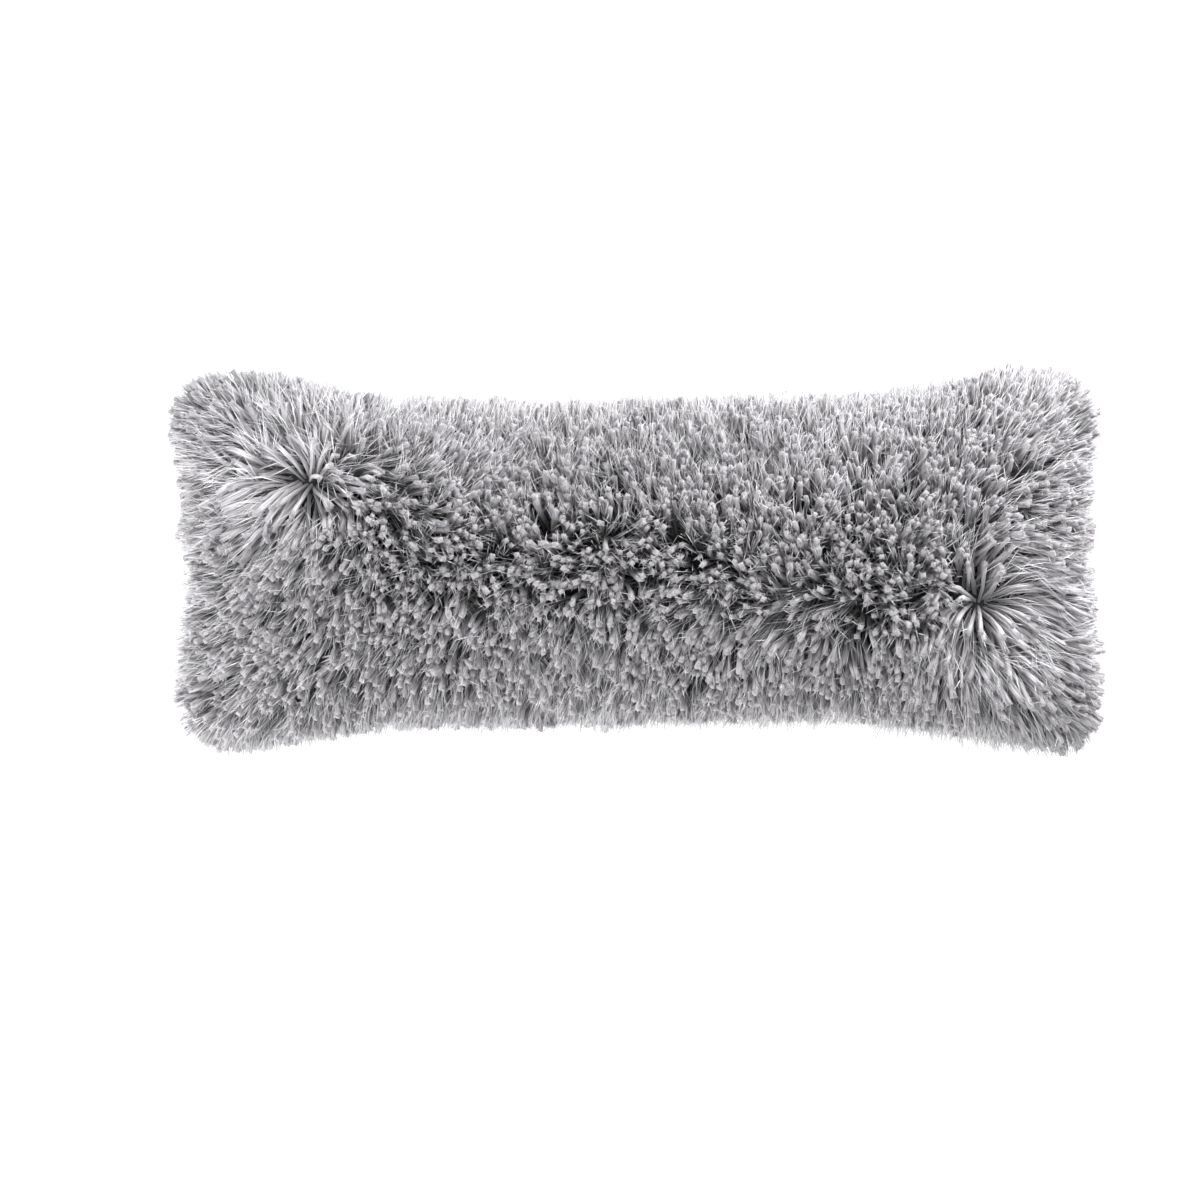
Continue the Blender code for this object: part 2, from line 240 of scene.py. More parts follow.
# Cover: heights in metres between which it is held down, puckered and, under the pile, painted
# with its shade
SWELL_FRAMES = 20
HELD_DOWN = 0.7
HELD_FROM = (0.040, 0.060)
PUCKER_FOOT = (0.004, 0.020)
PUCKER_HEAD = (0.044, 0.056)
BROAD_RUN = (1, 1, 0.12)  # the small share of the height draws the puckers out upright
NARROW_RUN = (1, 1, 0.2)
NARROW_DEPTH = 0.5
PILE_SHADE_FROM = (0.050, 0.060)

# Painted shade: how fast the pile pales from its dark root, and what share of a colour is left
# in its depth
YARN_SHADE_BEND = 2.5
STRAND_SHADE_BEND = 2.8
LAID_SHOWS = 0.8
SHADOW = 0.10

# Stage, in metres: each lamp's place and size
FLOOR_REACH = 30.0
FLOOR_DROP = 0.0002
LIT_POINT = (0, 0, 0.08)
LAMPS = {
    "key": ((1.4, 2.15, 1.3), (2.6, 0.9)),
    "fill": ((-1.1, -1.8, 2.1), (2.0, 1.2)),
    "left": ((-2.1, -1.1, 0.8), (1.2, 1.0)),
    "right": ((1.8, 1.7, 1.0), (1.2, 1.0)),
}
RIM_HEIGHT = 0.05
SENSOR = 36  # millimetres
VIEW_END = 100


class PileSettings(bpy.types.PropertyGroup):
    """Sizes and colours of the shag, with the painted shade at its roots."""

    yarn_length: bpy.props.FloatProperty(
        name="Yarn length",
        description="From the cloth to the tip, along the yarn",
        default=0.046,
        unit="LENGTH",
    )
    yarn_width: bpy.props.FloatProperty(
        name="Yarn width",
        description="Across the middle of one yarn",
        default=0.0050,
        unit="LENGTH",
    )
    yarn_gap: bpy.props.FloatProperty(
        name="Yarn spacing",
        description="Least distance between two yarns where they leave the cloth",
        default=0.0049,
        unit="LENGTH",
    )
    lock_gap: bpy.props.FloatProperty(
        name="Lock spacing",
        description="Least distance between two locks of yarns that lie together",
        default=0.014,
        unit="LENGTH",
    )
    lean: bpy.props.FloatProperty(
        name="Lean",
        description="How far a yarn's tip leans from straight out of the cloth",
        default=math.radians(33),
        subtype="ANGLE",
    )
    parted_lean: bpy.props.FloatProperty(
        name="Lean at the parting",
        description="How far a tip leans along the parting",
        default=math.radians(12),
        subtype="ANGLE",
    )
    open_lean: bpy.props.FloatProperty(
        name="Lean where it stands open",
        description="How far a tip leans where the parting shows its depth",
        default=math.radians(6),
        subtype="ANGLE",
    )
    thinned: bpy.props.FloatProperty(
        name="Thinned",
        description="Share of the yarns that is missing where the pile stands open",
        default=0.50,
        subtype="FACTOR",
    )
    whorl_lean: bpy.props.FloatProperty(
        name="Lean in a whorl",
        description="How far a tip leans round a whorl's eye",
        default=math.radians(68),
        subtype="ANGLE",
    )
    fan_lean: bpy.props.FloatProperty(
        name="Lean in the fan",
        description="How far a tip leans where the pile lies left beside the right whorl",
        default=math.radians(48),
        subtype="ANGLE",
    )
    rim_lean: bpy.props.FloatProperty(
        name="Lean at the rim",
        description="How far a tip leans at the seam",
        default=math.radians(34),
        subtype="ANGLE",
    )
    sag: bpy.props.FloatProperty(
        name="Sag",
        description="How far the tips round a whorl hang towards the front edge",
        default=0.75,
    )
    fray: bpy.props.FloatProperty(
        name="Fray",
        description="Length of the loose fibres at a yarn's end",
        default=0.0066,
        unit="LENGTH",
    )
    loose: bpy.props.FloatProperty(
        name="Loose fibres",
        description="Length of the stray fibres that leave a yarn's end sideways",
        default=0.014,
        unit="LENGTH",
    )
    unruly: bpy.props.FloatProperty(
        name="Unruliness",
        description="How far one yarn strays from its neighbours",
        default=math.radians(9),
        subtype="ANGLE",
    )
    yarn_colour: bpy.props.FloatVectorProperty(
        name="Yarn colour",
        description="Colour of a yarn at its tip",
        default=(0.502, 0.484, 0.511),
        subtype="COLOR",
        min=0,
        max=1,
    )
    # Painted shade: the dark root stands in for the shade where the yarns crowd at the cloth
    root_shade: bpy.props.FloatVectorProperty(
        name="Root colour",
        description="Colour of a yarn where it leaves the cloth",
        default=(0.034, 0.033, 0.035),
        subtype="COLOR",
        min=0,
        max=1,
    )
    strands: bpy.props.IntProperty(
        name="Fine strands",
        description="How many fine shiny strands stand between the yarns",
        default=42000,
    )
    strand_length: bpy.props.FloatProperty(
        name="Strand length",
        description="From the cloth to the tip, along the strand",
        default=0.0535,
        unit="LENGTH",
    )
    strand_width: bpy.props.FloatProperty(
        name="Strand width",
        description="Thickness of one fine strand",
        default=0.00088,
        unit="LENGTH",
    )
    strand_colour: bpy.props.FloatVectorProperty(
        name="Strand colour",
        description="Colour of the fine strands",
        default=(0.95, 0.935, 0.97),
        subtype="COLOR",
        min=0,
        max=1,
    )


class CoverSettings(bpy.types.PropertyGroup):
    """Sizes and colours of the filled cover and its woven back."""

    cloth_colour: bpy.props.FloatVectorProperty(
        name="Cloth colour",
        description="Colour of the woven back",
        default=(0.30, 0.30, 0.31),
        subtype="COLOR",
        min=0,
        max=1,
    )
    thread_pitch: bpy.props.FloatProperty(
        name="Thread pitch",
        description="Distance from thread to thread of the weave",
        default=0.0011,
        unit="LENGTH",
    )
    voxel: bpy.props.FloatProperty(
        name="Mesh size",
        description="Face size of the cover before it swells",
        default=0.009,
        unit="LENGTH",
    )
    set_in: bpy.props.FloatProperty(
        name="Set in",
        description="How much smaller the cover starts, so that it can swell",
        default=0.004,
        unit="LENGTH",
    )
    pressure: bpy.props.FloatProperty(
        name="Filling pressure",
        description="How hard the filling pushes the cover out",
        default=4.0,
    )
    pucker: bpy.props.FloatProperty(
        name="Pucker depth",
        description="How deep the cloth gathers where it runs down from the seam",
        default=0.0032,
        unit="LENGTH",
    )
    swell: bpy.props.FloatProperty(
        name="Most swelling",
        description="The furthest that the filling may move the cover",
        default=0.005,
        unit="LENGTH",
    )


class StageSettings(bpy.types.PropertyGroup):
    """Floor, lights and camera."""

    camera_height: bpy.props.FloatProperty(
        name="Camera height",
        description="Height of the camera over the floor, straight above",
        default=4.0,
        unit="LENGTH",
    )
    view_width: bpy.props.FloatProperty(
        name="View width",
        description="Width of the picture at the height of the rim",
        default=1.080,
        unit="LENGTH",
    )
    view_x: bpy.props.FloatProperty(
        name="View centre X",
        description="Where the camera stands along the cushion",
        default=-0.03375,
        unit="LENGTH",
    )
    view_y: bpy.props.FloatProperty(
        name="View centre Y",
        description="Where the camera stands across the cushion",
        default=-0.03645,
        unit="LENGTH",
    )
    sky: bpy.props.FloatProperty(
        name="Soft light",
        description="Strength of the even light from all round",
        default=1.08,
    )
    key: bpy.props.FloatProperty(
        name="Key light",
        description="Power of the main lamp, behind the rear long side and to the right",
        default=133.0,
        unit="POWER",
    )
    fill: bpy.props.FloatProperty(
        name="Fill light",
        description="Power of the lamp in front, to the left",
        default=22.0,
        unit="POWER",
    )
    left: bpy.props.FloatProperty(
        name="Left light",
        description="Power of the lamp beyond the left end, a little in front",
        default=80.0,
        unit="POWER",
    )
    right: bpy.props.FloatProperty(
        name="Right light",
        description="Power of the lamp beyond the right rear corner",
        default=52.0,
        unit="POWER",
    )
    floor_colour: bpy.props.FloatVectorProperty(
        name="Floor colour",
        description="Colour of the floor",
        default=(0.90, 0.90, 0.90),
        subtype="COLOR",
        min=0,
        max=1,
    )
    floor_glow: bpy.props.FloatProperty(
        name="Floor glow",
        description="Light that the floor gives off",
        default=0.35,
    )


def smooth(low, high, value):
    """0 below low, 1 above high, with an even bend between."""
    share = np.clip((value - low) / (high - low), 0, 1)
    return share * share * (3 - 2 * share)


def unit(vectors):
    """The vectors at length 1."""
    return vectors / np.maximum(np.linalg.norm(vectors, axis=-1, keepdims=True), TINY)


def dots(first, second):
    """Row by row products, kept as a column."""
    return (first * second).sum(-1, keepdims=True)


def square_to(normals, ways):
    """The ways at length 1, without what runs along the normals."""
    return unit(ways - dots(ways, normals) * normals)


def turned(ways, normals, angles):
    """The ways, turned about the normals."""
    side = np.cross(normals, ways)
    return ways * np.cos(angles)[:, None] + side * np.sin(angles)[:, None]


def nearest(places, points):
    """Plan distance from each place to the nearest of the points."""
    return np.linalg.norm(places[:, None, :2] - points[None], axis=2).min(1)


def nearest_of(places, points):
    """The number of the point nearest to each place."""
    return np.array([int(np.argmin(((points - place) ** 2).sum(1))) for place in places])


def near(places, points, width):
    """1 at the nearest of the points, fading to 0 over about twice the width."""
    return np.exp(-((nearest(places, points) / width) ** 2))


def stray(places, size, start):
    """A vector for each place that changes slowly over the given size."""
    noise.seed_set(STRAY_SEED)
    shift = Vector([start * part for part in STRAY_START])
    return np.array([noise.noise_vector(Vector(place) / size + shift) for place in places])


def varied(rng, count, spread, least, most):
    """Random shares about 1."""
    return np.clip(rng.normal(1, spread, count), least, most)


def parting_line():
    """Evenly spaced points along the parting."""
    steps = np.linalg.norm(np.diff(PARTING, axis=0), axis=1)
    run = np.concatenate([[0], np.cumsum(steps)])
    at = np.linspace(0, run[-1], PARTING_SAMPLES)
    return np.stack([np.interp(at, run, PARTING[:, axis]) for axis in (0, 1)], 1)


def brushed(places):
    """The way the pile is brushed in plan: off the parting and out from each whorl."""
    line = parting_line()
    sources = np.concatenate([line, WHORLS, SIDE_SOURCE])
    strength = np.interp(line[:, 0], PARTING_STRETCH, PARTING_PULL) / len(line)
    weights = np.concatenate([strength, SOURCE_PULLS])
    from_eye = smooth(*EYE_CALM, nearest(places, WHORLS))[:, None]
    moved = places[:, :2] + WANDER_FAR * from_eye * stray(places, *WANDER)[:, :2]
    arms = moved[:, None] - sources[None]
    pull = weights / ((arms**2).sum(2) + SOURCE_SOFTNESS**2)
    way = unit((arms * pull[..., None]).sum(1))
    return np.concatenate([way, np.zeros((len(way), 1))], 1)


def body_face():
    """Corners and smooth normals of the solid body's upward triangles."""
    work = bmesh.new()
    work.from_mesh(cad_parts[BODY_NODE].data)
    bmesh.ops.remove_doubles(work, verts=work.verts, dist=WELD)
    bmesh.ops.triangulate(work, faces=work.faces)
    work.normal_update()
    upward = [face for face in work.faces if face.normal.z > FACE_LEAST]
    corners = np.array([[vert.co for vert in face.verts] for face in upward])
    normals = np.array([[vert.normal for vert in face.verts] for face in upward])
    work.free()
    return corners, normals


def rooted(tries, gap, rng, crowd=0.0):
    """Points on the body's face with its normals there, none closer than the gap."""
    corners, normals = body_face()
    sides = corners[:, 1:] - corners[:, :1]
    areas = np.linalg.norm(np.cross(sides[:, 0], sides[:, 1]), axis=1)
    outward = normals.mean(1)
    steep, rear = (1 - outward[:, 2]) ** 2, np.maximum(outward[:, 1], 0)
    areas = areas * (1 + crowd * (steep + REAR_CROWDING * rear))
    picked = rng.choice(len(corners), tries, p=areas / areas.sum())
    shares = rng.random((tries, 2))
    over = shares.sum(1) > 1
    shares[over] = 1 - shares[over]
    weights = np.concatenate([1 - shares.sum(1, keepdims=True), shares], 1)[..., None]
    points = (corners[picked] * weights).sum(1)
    facing = unit((normals[picked] * weights).sum(1))
    if not gap:
        return points, facing
    cells, kept = {}, []
    for number, (point, cell) in enumerate(zip(points, np.floor(points / gap).astype(int))):
        around = (
            cells.get((cell[0] + x, cell[1] + y, cell[2] + z), ())
            for x in (-1, 0, 1)
            for y in (-1, 0, 1)
            for z in (-1, 0, 1)
        )
        if all(math.dist(point, other) >= gap for group in around for other in group):
            cells.setdefault(tuple(cell), []).append(point)
            kept.append(number)
    return points[kept], facing[kept]


def pile_ways(places, normals, pile, rng):
    """For each root, the way it is brushed along the cloth and how far it leans."""
    ways = brushed(places) + SWAY_FAR * stray(places, *SWAY)
    ways[:, 2] = DROOP
    ways = square_to(normals, ways)
    lean = pile.lean
    for wanted, points, width in (
        (pile.parted_lean, parting_line()[PARTING_MIDDLE], PARTED_WIDTH),
        (pile.open_lean, OPEN, OPEN_WIDTH),
        (pile.fan_lean, FAN, FAN_WIDTH),
        (pile.whorl_lean, LAID, WHORL_WIDTH),
    ):
        lean = lean + (wanted - lean) * near(places, points, width)
    up = normals[:, 2]
    shoulder = smooth(*SHOULDER_FOOT, up) * (1 - smooth(*SHOULDER_TOP, up))
    lean = lean * (1 - SHOULDER_LIFT * shoulder * (1 - near(places, LAID, LAID_WIDTH)))
    lean = lean + (pile.rim_lean - lean) * (1 - smooth(*RIM, up))
    bunch = near(places, BUNCH, BUNCH_WIDTH)
    lean = lean + (BUNCH_LEAN - lean) * bunch
    bunch = bunch[:, None]
    ways = square_to(normals, ways * (1 - bunch) + BUNCH_WAY * bunch)
    eye = near(places, WHORLS, EYE_REACH)
    ways = turned(ways, normals, rng.normal(0, EYE_TWIST, len(places)) * eye)
    # Locks lie their own way, and each yarn a little off its lock
    loose = LOCK_SHARE * stray(places, *LOCK_STRAY) + TUFT_SHARE * stray(places, *TUFT_STRAY)
    loose = loose + rng.normal(0, pile.unruly, (len(places), 3))
    loose = loose * (1 - BUNCH_CALM * bunch)
    loose = loose - dots(loose, normals) * normals
    lay = ways * (lean * (1 - EYE_LIFT * eye))[:, None] + loose
    return unit(lay), np.linalg.norm(lay, axis=1)


def gathered(lines, groups, pull):
    """Draws the tips of each group together, so that the pile lies in locks."""
    count = groups.max() + 1
    sums = np.zeros((count, *lines.shape[1:]))
    np.add.at(sums, groups, lines)
    means = sums / np.maximum(np.bincount(groups, minlength=count), 1)[:, None, None]
    shares = np.linspace(0, 1, lines.shape[1])[None, :, None]
    return lines + (means[groups] - lines) * pull * shares**GATHER_BEND


def past_outline(places):
    """How far each place lies outside the sheared outline, 0 or less inside."""
    start, end = SHEARED, np.roll(SHEARED, -1, 0)
    run = end - start
    arms = places[:, None, :2] - start[None]
    share = np.clip((arms * run).sum(2) / (run**2).sum(1), 0, 1)
    off = arms - share[..., None] * run
    far = np.linalg.norm(off, axis=2)
    number = far.argmin(1)
    rows = np.arange(len(places))
    cross = run[number, 0] * arms[rows, number, 1] - run[number, 1] * arms[rows, number, 0]
    return far[rows, number] * np.sign(cross)


def sheared(lines, spare):
    """Shortens what stands out past the outline by more than its spare length."""
    root, tip = lines[:, :1], lines[:, -1]
    reach = np.linalg.norm(tip[:, :2] - root[:, 0, :2], axis=1)
    over = past_outline(tip) - spare
    keep = np.clip(1 - over / np.maximum(reach, SHORTEST), LEAST_KEPT, 1)
    return root + (lines - root) * keep[:, None, None]


def grown(places, normals, ways, lean, lengths, shares, curl, sag):
    """The middle line of each yarn, from under the cloth to its tip."""
    sag = (sag * near(places, WHORLS, SAG_WIDTH) * np.abs(ways[:, 0]))[:, None]
    line = [places - normals * ROOT_DEPTH]
    side = np.cross(normals, ways)
    for share, step in zip(shares[1:], np.diff(shares)):
        bend = ROOT_BEND + (1 - ROOT_BEND) * smooth(0.0, BENT_AT, share)
        angle = (lean * bend)[:, None]
        way = np.cos(angle) * normals + np.sin(angle) * ways
        way = way + side * (curl * math.sin(math.pi * (share - CURL_TURN)))[:, None]
        level = 1 - np.abs(way[:, 2:])
        way = unit(way - UP * level * WEIGHT * share - REAR * sag * share)
        line.append(line[-1] + way * (lengths * step)[:, None])
    line = np.stack(line, 1)
    line[..., 2] = np.maximum(line[..., 2], LOWEST)
    return line


def sprouted(places, headings, radius, each, splay, length, rng):
    """Fibres that leave the end of each yarn: where they start and end, and their yarn."""
    owner = np.repeat(np.arange(len(places)), each)
    heading = headings[owner]
    aside = square_to(heading, rng.normal(0, 1, heading.shape))
    start = places[owner] + aside * radius[owner]
    way = unit(heading + aside * rng.normal(*splay, (len(owner), 1)))
    ends = start + way * length * rng.normal(1, FIBRE_LENGTHS, (len(owner), 1))
    ends[:, 2] = np.clip(ends[:, 2], LOWEST, HIGHEST)
    return start[:, None], ends, owner


def tube_faces(rings, sides):
    """The faces of one tube (its sides, its tip and its root) and their places on a tile.

    On the tile the sides lie unrolled, the tip as teeth above them and the root as a round."""
    ringed = np.arange(rings - 1)[:, None] * sides
    here = np.arange(sides)[None]
    after = (here + 1) % sides
    low, high = ringed + here, ringed + after
    quads = np.stack([low, high, high + sides, low + sides], -1)
    last = (rings - 1) * sides
    tips = np.stack([last + here[0], last + after[0], np.full(sides, rings * sides)], -1)
    loops = np.concatenate([quads.ravel(), tips.ravel(), np.arange(sides)[::-1]])
    sizes = np.concatenate([np.full(quads.shape[0] * sides, 4), np.full(sides, 3), [sides]])
    u = np.stack([here, here + 1, here + 1, here], -1) / sides * TILE_WIDTH + TILE_EDGE
    rise = np.stack([ringed, ringed, ringed + sides, ringed + sides], -1) / max(last, 1)
    side_map = np.stack(np.broadcast_arrays(u, rise * TILE_SIDES + TILE_EDGE), -1).reshape(-1, 2)
    tooth = np.stack([here[0], here[0] + 1, here[0] + 0.5], -1) / sides * TILE_WIDTH + TILE_EDGE
    tip_map = np.stack([tooth, np.broadcast_to(TILE_TEETH, tooth.shape)], -1).reshape(-1, 2)
    corner = np.arange(sides) * (math.tau / sides)
    rounds = np.stack([np.cos(corner), np.sin(corner)], 1)[::-1] * TILE_ROUND + TILE_ROUND_AT
    return loops, sizes, np.concatenate([side_map, tip_map, rounds])


def tube_mesh(name, points, rings, sides):
    """A mesh of closed tubes through the points, with a small map tile for each tube."""
    count, each, _ = points.shape
    loops, sizes, tile = tube_faces(rings, sides)
    starts = np.concatenate([[0], np.cumsum(sizes)[:-1]])
    number = np.arange(count)[:, None]
    mesh = bpy.data.meshes.new(name)
    mesh.vertices.add(count * each)
    mesh.vertices.foreach_set("co", points.astype(np.float32).ravel())
    mesh.loops.add(count * len(loops))
    mesh.loops.foreach_set("vertex_index", (loops[None] + number * each).ravel())
    mesh.polygons.add(count * len(sizes))
    mesh.polygons.foreach_set("loop_start", (starts[None] + number * len(loops)).ravel())
    mesh.polygons.foreach_set("use_smooth", np.ones(count * len(sizes), bool))
    mesh.update(calc_edges=True)
    tiles = math.ceil(math.sqrt(count))
    corner_of = np.stack([number % tiles, number // tiles], -1)
    layer = mesh.uv_layers.new(name=BAKE_MAP)
    layer.data.foreach_set("uv", ((tile[None] + corner_of) / tiles).astype(np.float32).ravel())
    return mesh


def tubes(name, lines, ends, widths, section, ragged, laid, rng, begin=0.0):
    """One piece of closed tubes along the lines, with what its material reads."""
    count, rings, _ = lines.shape
    sides = len(section)
    each = rings * sides + 1
    whole = np.concatenate([lines, ends[:, None]], 1)
    tangents = unit(np.gradient(whole, axis=1))[:, :-1]
    first = unit(np.cross(tangents[:, 0], np.roll(tangents[:, 0], 1, axis=1) + TUBE_SLANT))
    across = unit(first[:, None] - dots(first[:, None], tangents) * tangents)
    up = np.cross(tangents, across)
    corner = np.arange(sides) * (math.tau / sides)
    twist = np.linspace(0, TUBE_TWIST, rings)[None, :, None]
    angles = corner[None, None] + (rng.random((count, 1, 1)) * math.tau + twist)
    reach = widths[:, :, None] * section[None, None] / 2
    ring = (
        lines[:, :, None]
        + across[:, :, None] * (np.cos(angles) * reach)[..., None]
        + up[:, :, None] * (np.sin(angles) * reach)[..., None]
    )
    ring[:, -1] += tangents[:, -1, None] * (rng.random((count, sides)) * ragged)[..., None]
    points = np.concatenate([ring.reshape(count, -1, 3), ends[:, None]], 1)
    mesh = tube_mesh(name, points, rings, sides)
    steps = np.linalg.norm(np.diff(whole, axis=1), axis=2)
    run = steps.sum(1)
    shares = np.concatenate([[0], np.cumsum(steps.mean(0))[:-1]]) / run.mean()
    along = np.concatenate([begin + (1 - begin) * np.repeat(shares, sides), [1.0]])
    local = np.stack([np.tile(np.cos(corner), rings), np.tile(np.sin(corner), rings)], 1)
    local = np.concatenate([local, [[0, 0]]]) * widths.mean() / 2
    place = np.empty((count, each, 3))
    place[..., :2] = local[None] + rng.random((count, 1, 2)) * FIBRE_SHIFT
    place[..., 2] = along[None] * run[:, None]
    for title, kind, values in (
        ("along", "FLOAT", np.tile(along, count)),
        ("tint", "FLOAT", np.repeat(rng.random(count), each)),
        ("laid", "FLOAT", np.repeat(laid, each)),
        ("fibre_place", "FLOAT_VECTOR", place),
    ):
        attribute = mesh.attributes.new(title, kind, "POINT")
        field = "vector" if kind == "FLOAT_VECTOR" else "value"
        attribute.data.foreach_set(field, values.astype(np.float32).ravel())
    mesh.validate()
    made = bpy.data.objects.new(name, mesh)
    bpy.context.scene.collection.objects.link(made)
    return made


def link(tree, start, end):
    """Joins an output socket to an input socket."""
    tree.links.new(start, end)


def fill_socket(tree, socket, value):
    """Gives an input socket what it takes: another socket, a number or a colour."""
    if isinstance(value, bpy.types.NodeSocket):
        link(tree, value, socket)
    else:
        socket.default_value = value


def new_group(name, inputs, outputs):
    """A shader node group with its input and output nodes."""
    tree = bpy.data.node_groups.new(name, "ShaderNodeTree")
    for title, kind, default in inputs:
        socket = tree.interface.new_socket(title, in_out="INPUT", socket_type=kind)
        socket.default_value = default
    for title, kind in outputs:
        tree.interface.new_socket(title, in_out="OUTPUT", socket_type=kind)
    return tree, tree.nodes.new("NodeGroupInput"), tree.nodes.new("NodeGroupOutput")


def placed(tree, group, **values):
    """A node group in a material, with its own values."""
    node = tree.nodes.new("ShaderNodeGroup")
    node.node_tree = group
    for title, value in values.items():
        fill_socket(tree, node.inputs[title], value)
    return node


def maths(tree, operation, *values):
    """A Math node's result."""
    node = tree.nodes.new("ShaderNodeMath")
    node.operation = operation
    for socket, value in zip(node.inputs, values):
        fill_socket(tree, socket, value)
    return node.outputs[0]


def toned(tree, value, spread, least):
    """A shade that runs from the least up by the spread, as the value goes from 0 to 1."""
    return maths(tree, "MULTIPLY_ADD", value, spread, least)


def ranged(tree, value, **limits):
    """A Map Range node's result."""
    node = tree.nodes.new("ShaderNodeMapRange")
    link(tree, value, node.inputs["Value"])
    for title, limit in limits.items():
        node.inputs[title.replace("_", " ")].default_value = limit
    return node.outputs[0]


def blended(tree, share, first, second):
    """A Mix node's colour."""
    node = tree.nodes.new("ShaderNodeMix")
    node.data_type = "RGBA"
    named = {socket.identifier: socket for socket in node.inputs}
    for title, value in (("Factor_Float", share), ("A_Color", first), ("B_Color", second)):
        fill_socket(tree, named[title], value)
    return next(socket for socket in node.outputs if socket.identifier == "Result_Color")


def read(tree, title, output="Fac"):
    """A mesh attribute's value."""
    node = tree.nodes.new("ShaderNodeAttribute")
    node.attribute_name = title
    return node.outputs[output]


def grain_of(tree, place, scale, detail=2.0):
    """A noise over the place."""
    grain = tree.nodes.new("ShaderNodeTexNoise")
    grain.inputs["Scale"].default_value = scale
    grain.inputs["Detail"].default_value = detail
    link(tree, place, grain.inputs["Vector"])
    return grain.outputs["Fac"]


def shaded(tree, shader, colour, shade):
    """Gives the shader the colour at that shade."""
    scale = tree.nodes.new("ShaderNodeVectorMath")
    scale.operation = "SCALE"
    link(tree, colour, scale.inputs[0])
    link(tree, shade, scale.inputs["Scale"])
    link(tree, scale.outputs[0], shader.inputs["Base Color"])


def raised(tree, shader, height, strength, distance):
    """Gives the shader a fine relief."""
    bump = tree.nodes.new("ShaderNodeBump")
    bump.inputs["Strength"].default_value = strength
    bump.inputs["Distance"].default_value = distance
    link(tree, height, bump.inputs["Height"])
    link(tree, bump.outputs[0], shader.inputs["Normal"])


def root_shade_group():
    """Painted shade along a fibre: how far it stands clear of its neighbours; laid pile shows
    more of its length.
    """
    if "root_fade" in bpy.data.node_groups:
        return bpy.data.node_groups["root_fade"]
    tree, given, put = new_group(
        "root_fade",
        [
            ("Along", "NodeSocketFloat", 0.0),
            ("Laid", "NodeSocketFloat", 0.0),
            ("Bend", "NodeSocketFloat", 2.5),
        ],
        [("Mask", "NodeSocketFloat")],
    )
    along = given.outputs["Along"]
    under = maths(tree, "SUBTRACT", 1.0, along)
    lift = maths(tree, "MULTIPLY", given.outputs["Laid"], LAID_SHOWS)
    clear = maths(tree, "MULTIPLY_ADD", lift, under, along)
    link(tree, maths(tree, "POWER", clear, given.outputs["Bend"]), put.inputs["Mask"])
    return tree


def fibre_group():
    """Streaks of fine fibres along a yarn, as a mask and a height."""
    tree, given, put = new_group(
        "fibre_streaks",
        [
            ("Place", "NodeSocketVector", (0, 0, 0)),
            ("Fibre Width", "NodeSocketFloat", 0.0011),
            ("Fibre Length", "NodeSocketFloat", 0.012),
        ],
        [("Mask", "NodeSocketFloat"), ("Height", "NodeSocketFloat")],
    )
    parted = tree.nodes.new("ShaderNodeSeparateXYZ")
    link(tree, given.outputs["Place"], parted.inputs[0])
    joined = tree.nodes.new("ShaderNodeCombineXYZ")
    for axis, size in zip("XYZ", ("Fibre Width", "Fibre Width", "Fibre Length")):
        share = maths(tree, "DIVIDE", parted.outputs[axis], given.outputs[size])
        link(tree, share, joined.inputs[axis])
    grain = grain_of(tree, joined.outputs[0], scale=1.0, detail=1.5)
    streaks = ranged(tree, grain, From_Min=0.34, From_Max=0.66)
    link(tree, streaks, put.inputs["Mask"])
    link(tree, streaks, put.inputs["Height"])
    return tree


def weave_group():
    """A plain weave over the cloth's own run, as a mask and a height."""
    tree, given, put = new_group(
        "plain_weave",
        [("Place", "NodeSocketVector", (0, 0, 0)), ("Pitch", "NodeSocketFloat", 0.001)],
        [("Mask", "NodeSocketFloat"), ("Height", "NodeSocketFloat")],
    )
    parted = tree.nodes.new("ShaderNodeSeparateXYZ")
    link(tree, given.outputs["Place"], parted.inputs[0])
    waves = []
    for axis in "XY":
        # Up the sides the cloth runs on with the height
        side = maths(tree, "SIGN", parted.outputs[axis])
        run = maths(tree, "MULTIPLY_ADD", side, parted.outputs["Z"], parted.outputs[axis])
        turns = maths(tree, "DIVIDE", run, given.outputs["Pitch"])
        waves.append(maths(tree, "SINE", maths(tree, "MULTIPLY", turns, math.pi)))
    height = toned(tree, maths(tree, "MULTIPLY", *waves), spread=0.5, least=0.5)
    link(tree, height, put.inputs["Mask"])
    link(tree, height, put.inputs["Height"])
    return tree


def finish_material(name, roughness, sheen, sheen_roughness, specular):
    """A cloth material with its shader; its even values sit on the shader's own sockets."""
    material = bpy.data.materials.new(name)
    material.use_nodes = True
    shader = material.node_tree.nodes["Principled BSDF"]
    shader.inputs["Roughness"].default_value = roughness
    shader.inputs["Sheen Weight"].default_value = sheen
    shader.inputs["Sheen Roughness"].default_value = sheen_roughness
    shader.inputs["Specular IOR Level"].default_value = specular
    return material, material.node_tree, shader


def shaded_from_root(tree, along, bend, root, tip):
    """A fibre's colour from its root to its tip, with painted shade that darkens the root."""
    shade_mask = placed(tree, root_shade_group(), Along=along, Laid=read(tree, "laid"), Bend=bend)
    return blended(tree, shade_mask.outputs["Mask"], (*root, 1), (*tip, 1))


